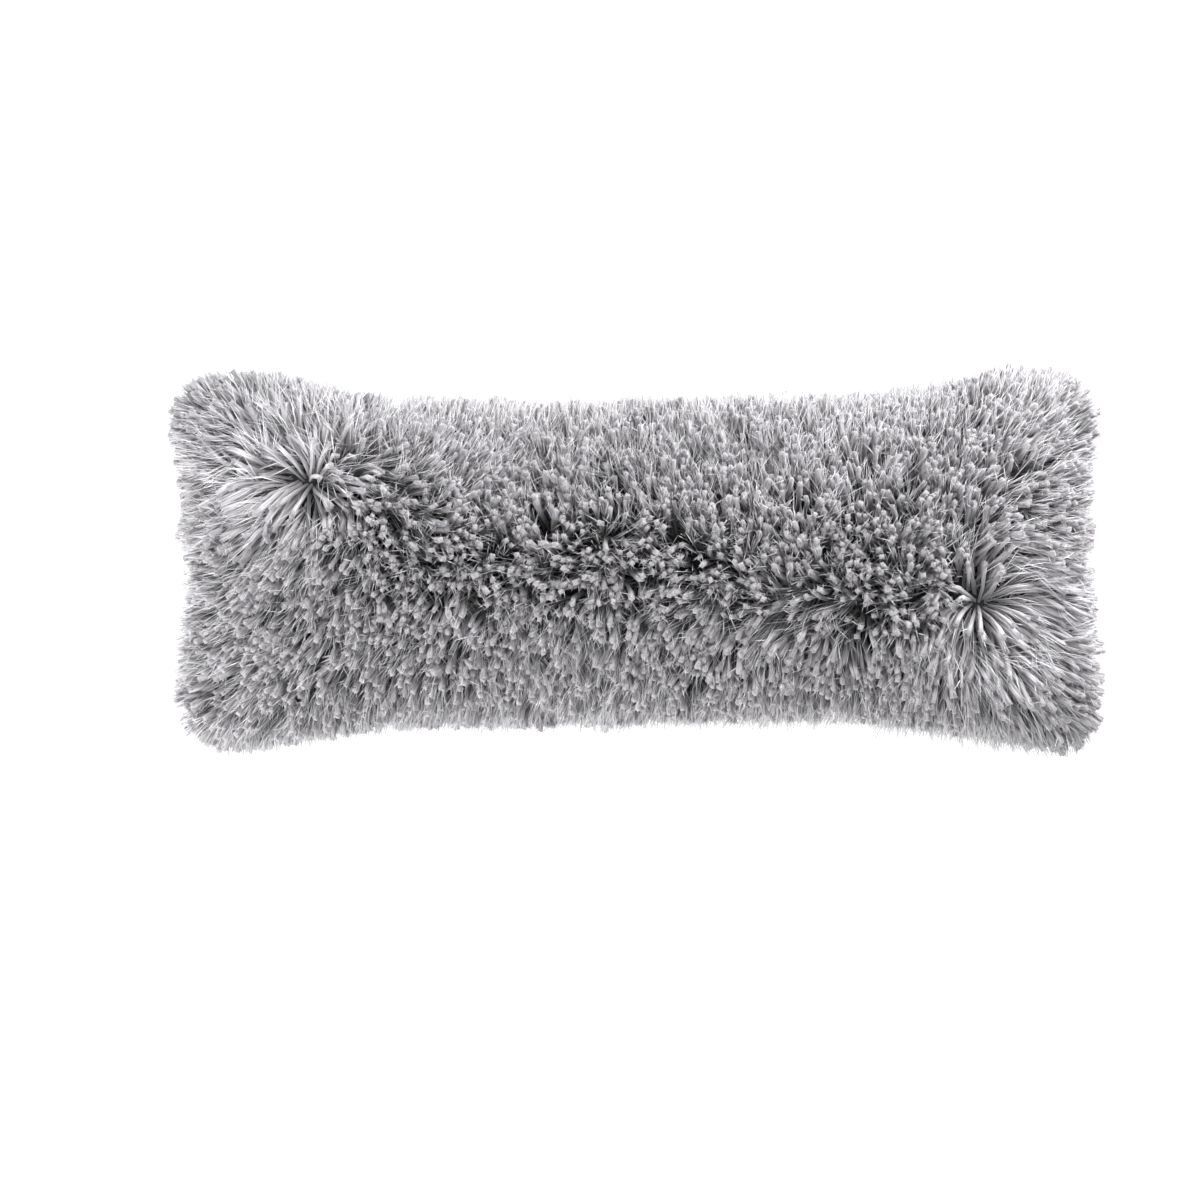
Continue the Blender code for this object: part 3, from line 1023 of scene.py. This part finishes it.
def yarn_material(pile):
    """Soft bundles of fine fibre, with painted shade: dark where they crowd at the root, pale
    near the tip.
    """
    material, tree, shader = finish_material(
        "shag_yarn", roughness=0.82, sheen=0.35, sheen_roughness=0.45, specular=0.25
    )
    along = read(tree, "along")
    fibres = placed(tree, fibre_group(), Place=read(tree, "fibre_place", "Vector"))
    colour = shaded_from_root(tree, along, YARN_SHADE_BEND, pile.root_shade, pile.yarn_colour)
    tone = toned(tree, read(tree, "tint"), spread=0.22, least=0.87)
    streak = toned(tree, fibres.outputs["Mask"], spread=0.58, least=0.66)
    # Painted shade: the yarn's end is darkened, for the dark between its fibres
    tip_shade = ranged(tree, along, From_Min=0.81, To_Min=1.0, To_Max=0.54)
    shade = maths(tree, "MULTIPLY", maths(tree, "MULTIPLY", tone, streak), tip_shade)
    shaded(tree, shader, colour, shade)
    raised(tree, shader, fibres.outputs["Height"], strength=0.6, distance=0.0005)
    return material


def strand_material(pile):
    """Fine glossy strands, paler than the yarns; the loose fibres are made of them too."""
    if "fine_strand" in bpy.data.materials:
        return bpy.data.materials["fine_strand"]
    material, tree, shader = finish_material(
        "fine_strand", roughness=0.38, sheen=0.50, sheen_roughness=0.30, specular=0.60
    )
    # Painted shade: the strands darken towards the root, where the pile shades them
    strand_root_shade = tuple(SHADOW * part for part in pile.strand_colour)
    colour = shaded_from_root(tree, read(tree, "along"), STRAND_SHADE_BEND, strand_root_shade, pile.strand_colour)
    shaded(tree, shader, colour, toned(tree, read(tree, "tint"), spread=0.68, least=0.43))
    return material


def cloth_material(cover):
    """The plain woven back, with painted shade where the pile covers it."""
    material, tree, shader = finish_material(
        "woven_back", roughness=0.88, sheen=0.25, sheen_roughness=0.50, specular=0.20
    )
    place = tree.nodes.new("ShaderNodeTexCoord").outputs["Object"]
    weave = placed(tree, weave_group(), Place=place, Pitch=cover.thread_pitch)
    # Painted shade: the cloth's colour in the pile's shadow
    dark = tuple(SHADOW * part for part in cover.cloth_colour)
    ground = blended(tree, read(tree, "covered"), (*cover.cloth_colour, 1), (*dark, 1))
    slub = toned(tree, grain_of(tree, place, scale=60), spread=0.3, least=0.85)
    threads = toned(tree, weave.outputs["Mask"], spread=0.30, least=0.70)
    shaded(tree, shader, ground, maths(tree, "MULTIPLY", threads, slub))
    raised(tree, shader, weave.outputs["Height"], strength=0.7, distance=0.0004)
    return material


def applied(piece):
    """Turns the piece's modifiers into its own mesh."""
    graph = bpy.context.evaluated_depsgraph_get()
    mesh = bpy.data.meshes.new_from_object(piece.evaluated_get(graph))
    piece.modifiers.clear()
    piece.data = mesh


def spots(piece, field="co"):
    """The places of a piece's vertices, or their normals."""
    flat = np.empty(len(piece.data.vertices) * 3, np.float32)
    piece.data.vertices.foreach_get(field, flat)
    return flat.reshape(-1, 3).astype(float)


def put_spots(piece, places):
    """Moves a piece's vertices."""
    piece.data.vertices.foreach_set("co", places.astype(np.float32).ravel())
    piece.data.update()


def shrink(mesh, depth):
    """Sets a mesh in by the depth, except for what rests on the floor."""
    work = bmesh.new()
    work.from_mesh(mesh)
    bmesh.ops.remove_doubles(work, verts=work.verts, dist=WELD)
    work.normal_update()
    for vert in work.verts:
        height = vert.co.z
        vert.co -= vert.normal * depth
        if height < depth:
            vert.co.z = height
    work.to_mesh(mesh)
    work.free()


def swell(piece, cover):
    """Lets the filling push the cover out, held where it rests."""
    start = spots(piece)
    held = piece.vertex_groups.new(name="resting")
    held.add([int(i) for i in np.nonzero(start[:, 2] < cover.voxel)[0]], 1.0, "REPLACE")
    cloth = piece.modifiers.new("filling", "CLOTH")
    cloth.settings.use_pressure = True
    cloth.settings.uniform_pressure_force = cover.pressure
    cloth.settings.vertex_group_mass = held.name
    cloth.settings.effector_weights.gravity = 0
    scene = bpy.context.scene
    for number in range(1, SWELL_FRAMES + 1):
        scene.frame_set(number)
    graph = bpy.context.evaluated_depsgraph_get()
    mesh = piece.evaluated_get(graph).to_mesh()
    end = np.array([vert.co for vert in mesh.vertices], float)
    piece.modifiers.remove(cloth)
    scene.frame_set(1)
    move = end - start
    far = np.linalg.norm(move, axis=1, keepdims=True)
    # The pile holds the cover's face down
    room = cover.swell * (1 - HELD_DOWN * smooth(*HELD_FROM, start[:, 2:]))
    move *= np.minimum(1, room / np.maximum(far, TINY))
    put_spots(piece, start + move)
    piece.vertex_groups.clear()


def puckered(piece, depth):
    """Draws the cloth into shallow upright puckers between the seam and the floor."""
    places = spots(piece)
    broad = stray(places * BROAD_RUN, *BROAD_PUCKER)[:, :1]
    narrow = stray(places * NARROW_RUN, *NARROW_PUCKER)[:, :1]
    ridges = broad + NARROW_DEPTH * narrow
    height = places[:, 2:]
    share = smooth(*PUCKER_FOOT, height) * (1 - smooth(*PUCKER_HEAD, height))
    put_spots(piece, places + spots(piece, "normal") * ridges * share * depth)


class CUSHION_OT_filled_cover(bpy.types.Operator):
    """Build the filled cover with its woven back"""

    bl_idname = "cushion.filled_cover"
    bl_label = "Filled Cover"

    def execute(self, context):
        cover = context.scene.cushion_cover
        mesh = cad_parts[BODY_NODE].data.copy()
        mesh.materials.clear()
        piece = bpy.data.objects.new("filled_cover", mesh)
        context.scene.collection.objects.link(piece)
        shrink(mesh, cover.set_in)
        remesh = piece.modifiers.new("even", "REMESH")
        remesh.mode = "VOXEL"
        remesh.voxel_size = cover.voxel
        applied(piece)
        swell(piece, cover)
        places = spots(piece)
        places[:, 2] = np.maximum(places[:, 2], 0)
        put_spots(piece, places)
        piece.modifiers.new("fine", "SUBSURF").levels = 1
        applied(piece)
        puckered(piece, cover.pucker)
        piece.data.polygons.foreach_set("use_smooth", np.ones(len(piece.data.polygons), bool))
        # Painted shade: the cloth darkens upward, where the pile hangs over it
        shade_under_pile = smooth(*PILE_SHADE_FROM, spots(piece)[:, 2])
        covered = piece.data.attributes.new("covered", "FLOAT", "POINT")
        covered.data.foreach_set("value", shade_under_pile.astype(np.float32))
        piece.data.materials.append(cloth_material(cover))
        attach(piece, "root")
        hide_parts(BODY_NODE)
        return {"FINISHED"}


def dress_pile(piece, material):
    """Gives a piece of the pile its material and its body, and hides the node that it stands
    for.
    """
    piece.data.materials.append(material)
    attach(piece, "root")
    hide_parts(PILE_NODE)


def bands(places):
    """The fibres in numbered bands, from the rear long side to the front one."""
    order = np.argsort(-places[:, 1], kind="stable")
    return enumerate(np.array_split(order, BANDS), 1)


def yarn_roots(pile, rng):
    """Where the yarns leave the cloth, with its normals there."""
    places, normals = rooted(ROOT_TRIES, pile.yarn_gap, rng)
    left = rng.random(len(places)) > pile.thinned * near(places, OPEN, THINNED_WIDTH)
    left &= nearest(places, WHORLS) > EYE_REACH
    # The yarns crowd round the whorls' eyes, where they all lie away from one spot
    crowded, facing = rooted(ROOT_TRIES, pile.yarn_gap * EYE_CROWDING, rng)
    eye = nearest(crowded, WHORLS) < EYE_REACH
    places = np.concatenate([places[left], crowded[eye]])
    return places, np.concatenate([normals[left], facing[eye]])


def yarn_lines(places, normals, pile, rng):
    """The yarns' middle lines, gathered into locks, sheared and lifted off the floor."""
    count = len(places)
    ways, lean = pile_ways(places, normals, pile, rng)
    lengths = pile.yarn_length * varied(rng, count, *YARN_LENGTHS)
    curl = rng.normal(0, YARN_CURL, count)
    lines = grown(places, normals, ways, lean, lengths, YARN_RINGS, curl, pile.sag)
    locks, _ = rooted(LOCK_TRIES, pile.lock_gap, rng)
    pull = GATHER + GATHER_LAID * near(places, LAID, LAID_WIDTH)
    pull = pull + GATHER_BUNCH * near(places, BUNCH, BUNCH_WIDTH)
    pull = pull * (GATHER_RIM + (1 - GATHER_RIM) * smooth(*GATHERED_FROM, normals[:, 2]))
    pull = pull * (1 - near(places, WHORLS, EYE_WIDTH))
    lines = gathered(lines, nearest_of(places, locks), pull[:, None, None])
    lines = sheared(lines, rng.normal(*YARN_SPARE, count))
    lines[..., 2] += np.maximum(HANG - lines[:, -1:, 2], 0) * YARN_LIFTS
    return lines


class CUSHION_OT_shag_yarns(bpy.types.Operator):
    """Grow the thick yarns of the pile, with the fibres at their ends"""

    bl_idname = "cushion.shag_yarns"
    bl_label = "Shag Yarns"

    def execute(self, context):
        pile = context.scene.cushion_pile
        rng = np.random.default_rng(YARN_SEED)
        places, normals = yarn_roots(pile, rng)
        lines = yarn_lines(places, normals, pile, rng)
        laid = near(places, LAID, LAID_WIDTH)
        widths = rng.normal(1, WIDTH_SPREAD, (len(places), 1))
        widths = pile.yarn_width * widths * YARN_PROFILE
        tips = lines[:, -1]
        heading = unit(tips - lines[:, -2])
        ends = tips + heading * END_LENGTH
        yarn, strand = yarn_material(pile), strand_material(pile)
        for number, chosen in bands(places):
            name = f"shag_yarns_band_{number}"
            line, end, width = lines[chosen], ends[chosen], widths[chosen]
            piece = tubes(name, line, end, width, YARN_SECTION, END_RAGGED, laid[chosen], rng)
            dress_pile(piece, yarn)
        radius = widths[:, -1:] * END_RADIUS
        fray = (FIBRES_IN_END, FRAY_SPLAY, pile.fray)
        loose = (LOOSE_AT_END, LOOSE_SPLAY, pile.loose)
        for name, below, growth, width, begin, material in (
            ("frayed_ends", FRAY_BELOW, fray, FRAY_WIDTH, FRAY_FROM, yarn),
            ("loose_fibres", LOOSE_BELOW, loose, pile.strand_width, LOOSE_FROM, strand),
        ):
            start, ends, owner = sprouted(tips - heading * below, heading, radius, *growth, rng)
            width = np.full((len(owner), 1), width)
            piece = tubes(name, start, ends, width, np.ones(3), 0, laid[owner], rng, begin)
            dress_pile(piece, material)
        return {"FINISHED"}


def strand_lines(pile, rng):
    """Where the fine strands leave the cloth, and their middle lines."""
    tufts = pile.strands // STRANDS_IN_TUFT
    places, normals = rooted(tufts, 0, rng, STRAND_CROWDING)
    ways, lean = pile_ways(places, normals, pile, rng)
    ways = turned(ways, normals, rng.normal(0, TUFT_TURN, tufts))
    lean = lean + rng.normal(0, TUFT_LEAN, tufts)
    places, normals, ways, lean = (
        np.repeat(values, STRANDS_IN_TUFT, 0) for values in (places, normals, ways, lean)
    )
    count = len(places)
    aside = square_to(normals, rng.normal(0, 1, (count, 3)))
    places = places + aside * rng.random((count, 1)) * TUFT_RADIUS
    ways = turned(ways, normals, rng.normal(0, STRAND_TURN, count))
    lean = np.clip(lean + rng.normal(0, STRAND_LEAN, count), *STRAND_LEANS)
    lengths = pile.strand_length * varied(rng, count, *STRAND_LENGTHS)
    whiskers = rng.random(count) < WHISKER_SHARE
    lengths = lengths * np.where(whiskers, WHISKER_LENGTH, 1.0)
    curl = rng.normal(0, STRAND_CURL, count)
    lines = grown(places, normals, ways, lean, lengths, STRAND_RINGS, curl, pile.sag)
    spare = rng.exponential(STRAND_SPARE, count)
    spare = spare * np.where(rng.random(count) < FREE_SHARE, FREE_SPARE, 1.0)
    lines = sheared(lines, np.minimum(spare + WHISKER_SPARE * whiskers, MOST_SPARE))
    lines[..., 2] = np.minimum(lines[..., 2], HIGHEST)
    return places, lines


class CUSHION_OT_fine_strands(bpy.types.Operator):
    """Grow the fine shiny strands between the yarns"""

    bl_idname = "cushion.fine_strands"
    bl_label = "Fine Strands"

    def execute(self, context):
        pile = context.scene.cushion_pile
        rng = np.random.default_rng(STRAND_SEED)
        places, lines = strand_lines(pile, rng)
        widths = pile.strand_width * rng.normal(1, WIDTH_SPREAD, (len(places), 1))
        widths = np.repeat(widths, 2, 1)
        material = strand_material(pile)
        for number, chosen in bands(places):
            name = f"fine_strands_band_{number}"
            line, end = lines[chosen, :-1], lines[chosen, -1]
            laid = near(places[chosen], LAID, LAID_WIDTH)
            piece = tubes(name, line, end, widths[chosen], np.ones(3), 0, laid, rng)
            dress_pile(piece, material)
        return {"FINISHED"}


def lamp(name, place, size, power):
    """A soft rectangular lamp that faces the cushion."""
    light = bpy.data.lights.new(name, "AREA")
    light.shape = "RECTANGLE"
    light.size, light.size_y = size
    light.energy = power
    made = bpy.data.objects.new(name, light)
    made.location = place
    turn = (Vector(LIT_POINT) - Vector(place)).to_track_quat("-Z", "Y")
    made.rotation_euler = turn.to_euler()
    bpy.context.scene.collection.objects.link(made)


def floor_material(stage):
    """A pale matt floor that glows a little."""
    material = bpy.data.materials.new("pale_floor")
    material.use_nodes = True
    shader = material.node_tree.nodes["Principled BSDF"]
    shader.inputs["Base Color"].default_value = (*stage.floor_colour, 1)
    shader.inputs["Roughness"].default_value = 0.9
    shader.inputs["Specular IOR Level"].default_value = 0.1
    shader.inputs["Emission Color"].default_value = (1, 1, 1, 1)
    shader.inputs["Emission Strength"].default_value = stage.floor_glow
    return material


class CUSHION_OT_stage(bpy.types.Operator):
    """Set out the floor, the lights and the camera"""

    bl_idname = "cushion.stage"
    bl_label = "Stage"

    def execute(self, context):
        scene = context.scene
        stage = scene.cushion_stage
        mesh = bpy.data.meshes.new("floor")
        far = FLOOR_REACH
        corners = [(-far, -far, 0), (far, -far, 0), (far, far, 0), (-far, far, 0)]
        mesh.from_pydata(corners, [], [(0, 1, 2, 3)])
        mesh.materials.append(floor_material(stage))
        floor = bpy.data.objects.new("floor", mesh)
        floor.location.z = -FLOOR_DROP
        scene.collection.objects.link(floor)
        world = bpy.data.worlds.new("soft_light")
        world.use_nodes = True
        sky = world.node_tree.nodes["Background"].inputs
        sky["Color"].default_value = (1, 1, 1, 1)
        sky["Strength"].default_value = stage.sky
        scene.world = world
        for name, (place, size) in LAMPS.items():
            lamp(name, place, size, getattr(stage, name))
        camera = bpy.data.objects.new("camera", bpy.data.cameras.new("camera"))
        camera.location = (stage.view_x, stage.view_y, stage.camera_height)
        camera.data.sensor_width = SENSOR
        camera.data.lens = SENSOR * (stage.camera_height - RIM_HEIGHT) / stage.view_width
        camera.data.clip_end = VIEW_END
        scene.collection.objects.link(camera)
        scene.camera = camera
        scene.view_settings.view_transform = "Standard"
        return {"FINISHED"}


class CUSHION_PT_panel(bpy.types.Panel):
    """Lists the cushion's pieces and their settings"""

    bl_idname = "CUSHION_PT_panel"
    bl_label = "Shag Cushion"
    bl_space_type = "VIEW_3D"
    bl_region_type = "UI"
    bl_category = "Cushion"

    def draw(self, context):
        for settings, operators in (
            (context.scene.cushion_cover, [CUSHION_OT_filled_cover]),
            (context.scene.cushion_pile, [CUSHION_OT_shag_yarns, CUSHION_OT_fine_strands]),
            (context.scene.cushion_stage, [CUSHION_OT_stage]),
        ):
            box = self.layout.box()
            for title in settings.__annotations__:
                box.prop(settings, title)
            for operator in operators:
                box.operator(operator.bl_idname)


CLASSES = (
    PileSettings,
    CoverSettings,
    StageSettings,
    CUSHION_OT_filled_cover,
    CUSHION_OT_shag_yarns,
    CUSHION_OT_fine_strands,
    CUSHION_OT_stage,
    CUSHION_PT_panel,
)


def register():
    """Adds the classes and the scene's settings."""
    for made in CLASSES:
        bpy.utils.register_class(made)
    bpy.types.Scene.cushion_pile = bpy.props.PointerProperty(type=PileSettings)
    bpy.types.Scene.cushion_cover = bpy.props.PointerProperty(type=CoverSettings)
    bpy.types.Scene.cushion_stage = bpy.props.PointerProperty(type=StageSettings)


def unregister():
    """Takes them away again."""
    del bpy.types.Scene.cushion_stage
    del bpy.types.Scene.cushion_cover
    del bpy.types.Scene.cushion_pile
    for made in reversed(CLASSES):
        bpy.utils.unregister_class(made)


def main():
    """Builds every piece."""
    register()
    bpy.ops.cushion.stage()
    bpy.ops.cushion.filled_cover()
    bpy.ops.cushion.shag_yarns()
    bpy.ops.cushion.fine_strands()


if __name__ == "__main__":
    main()
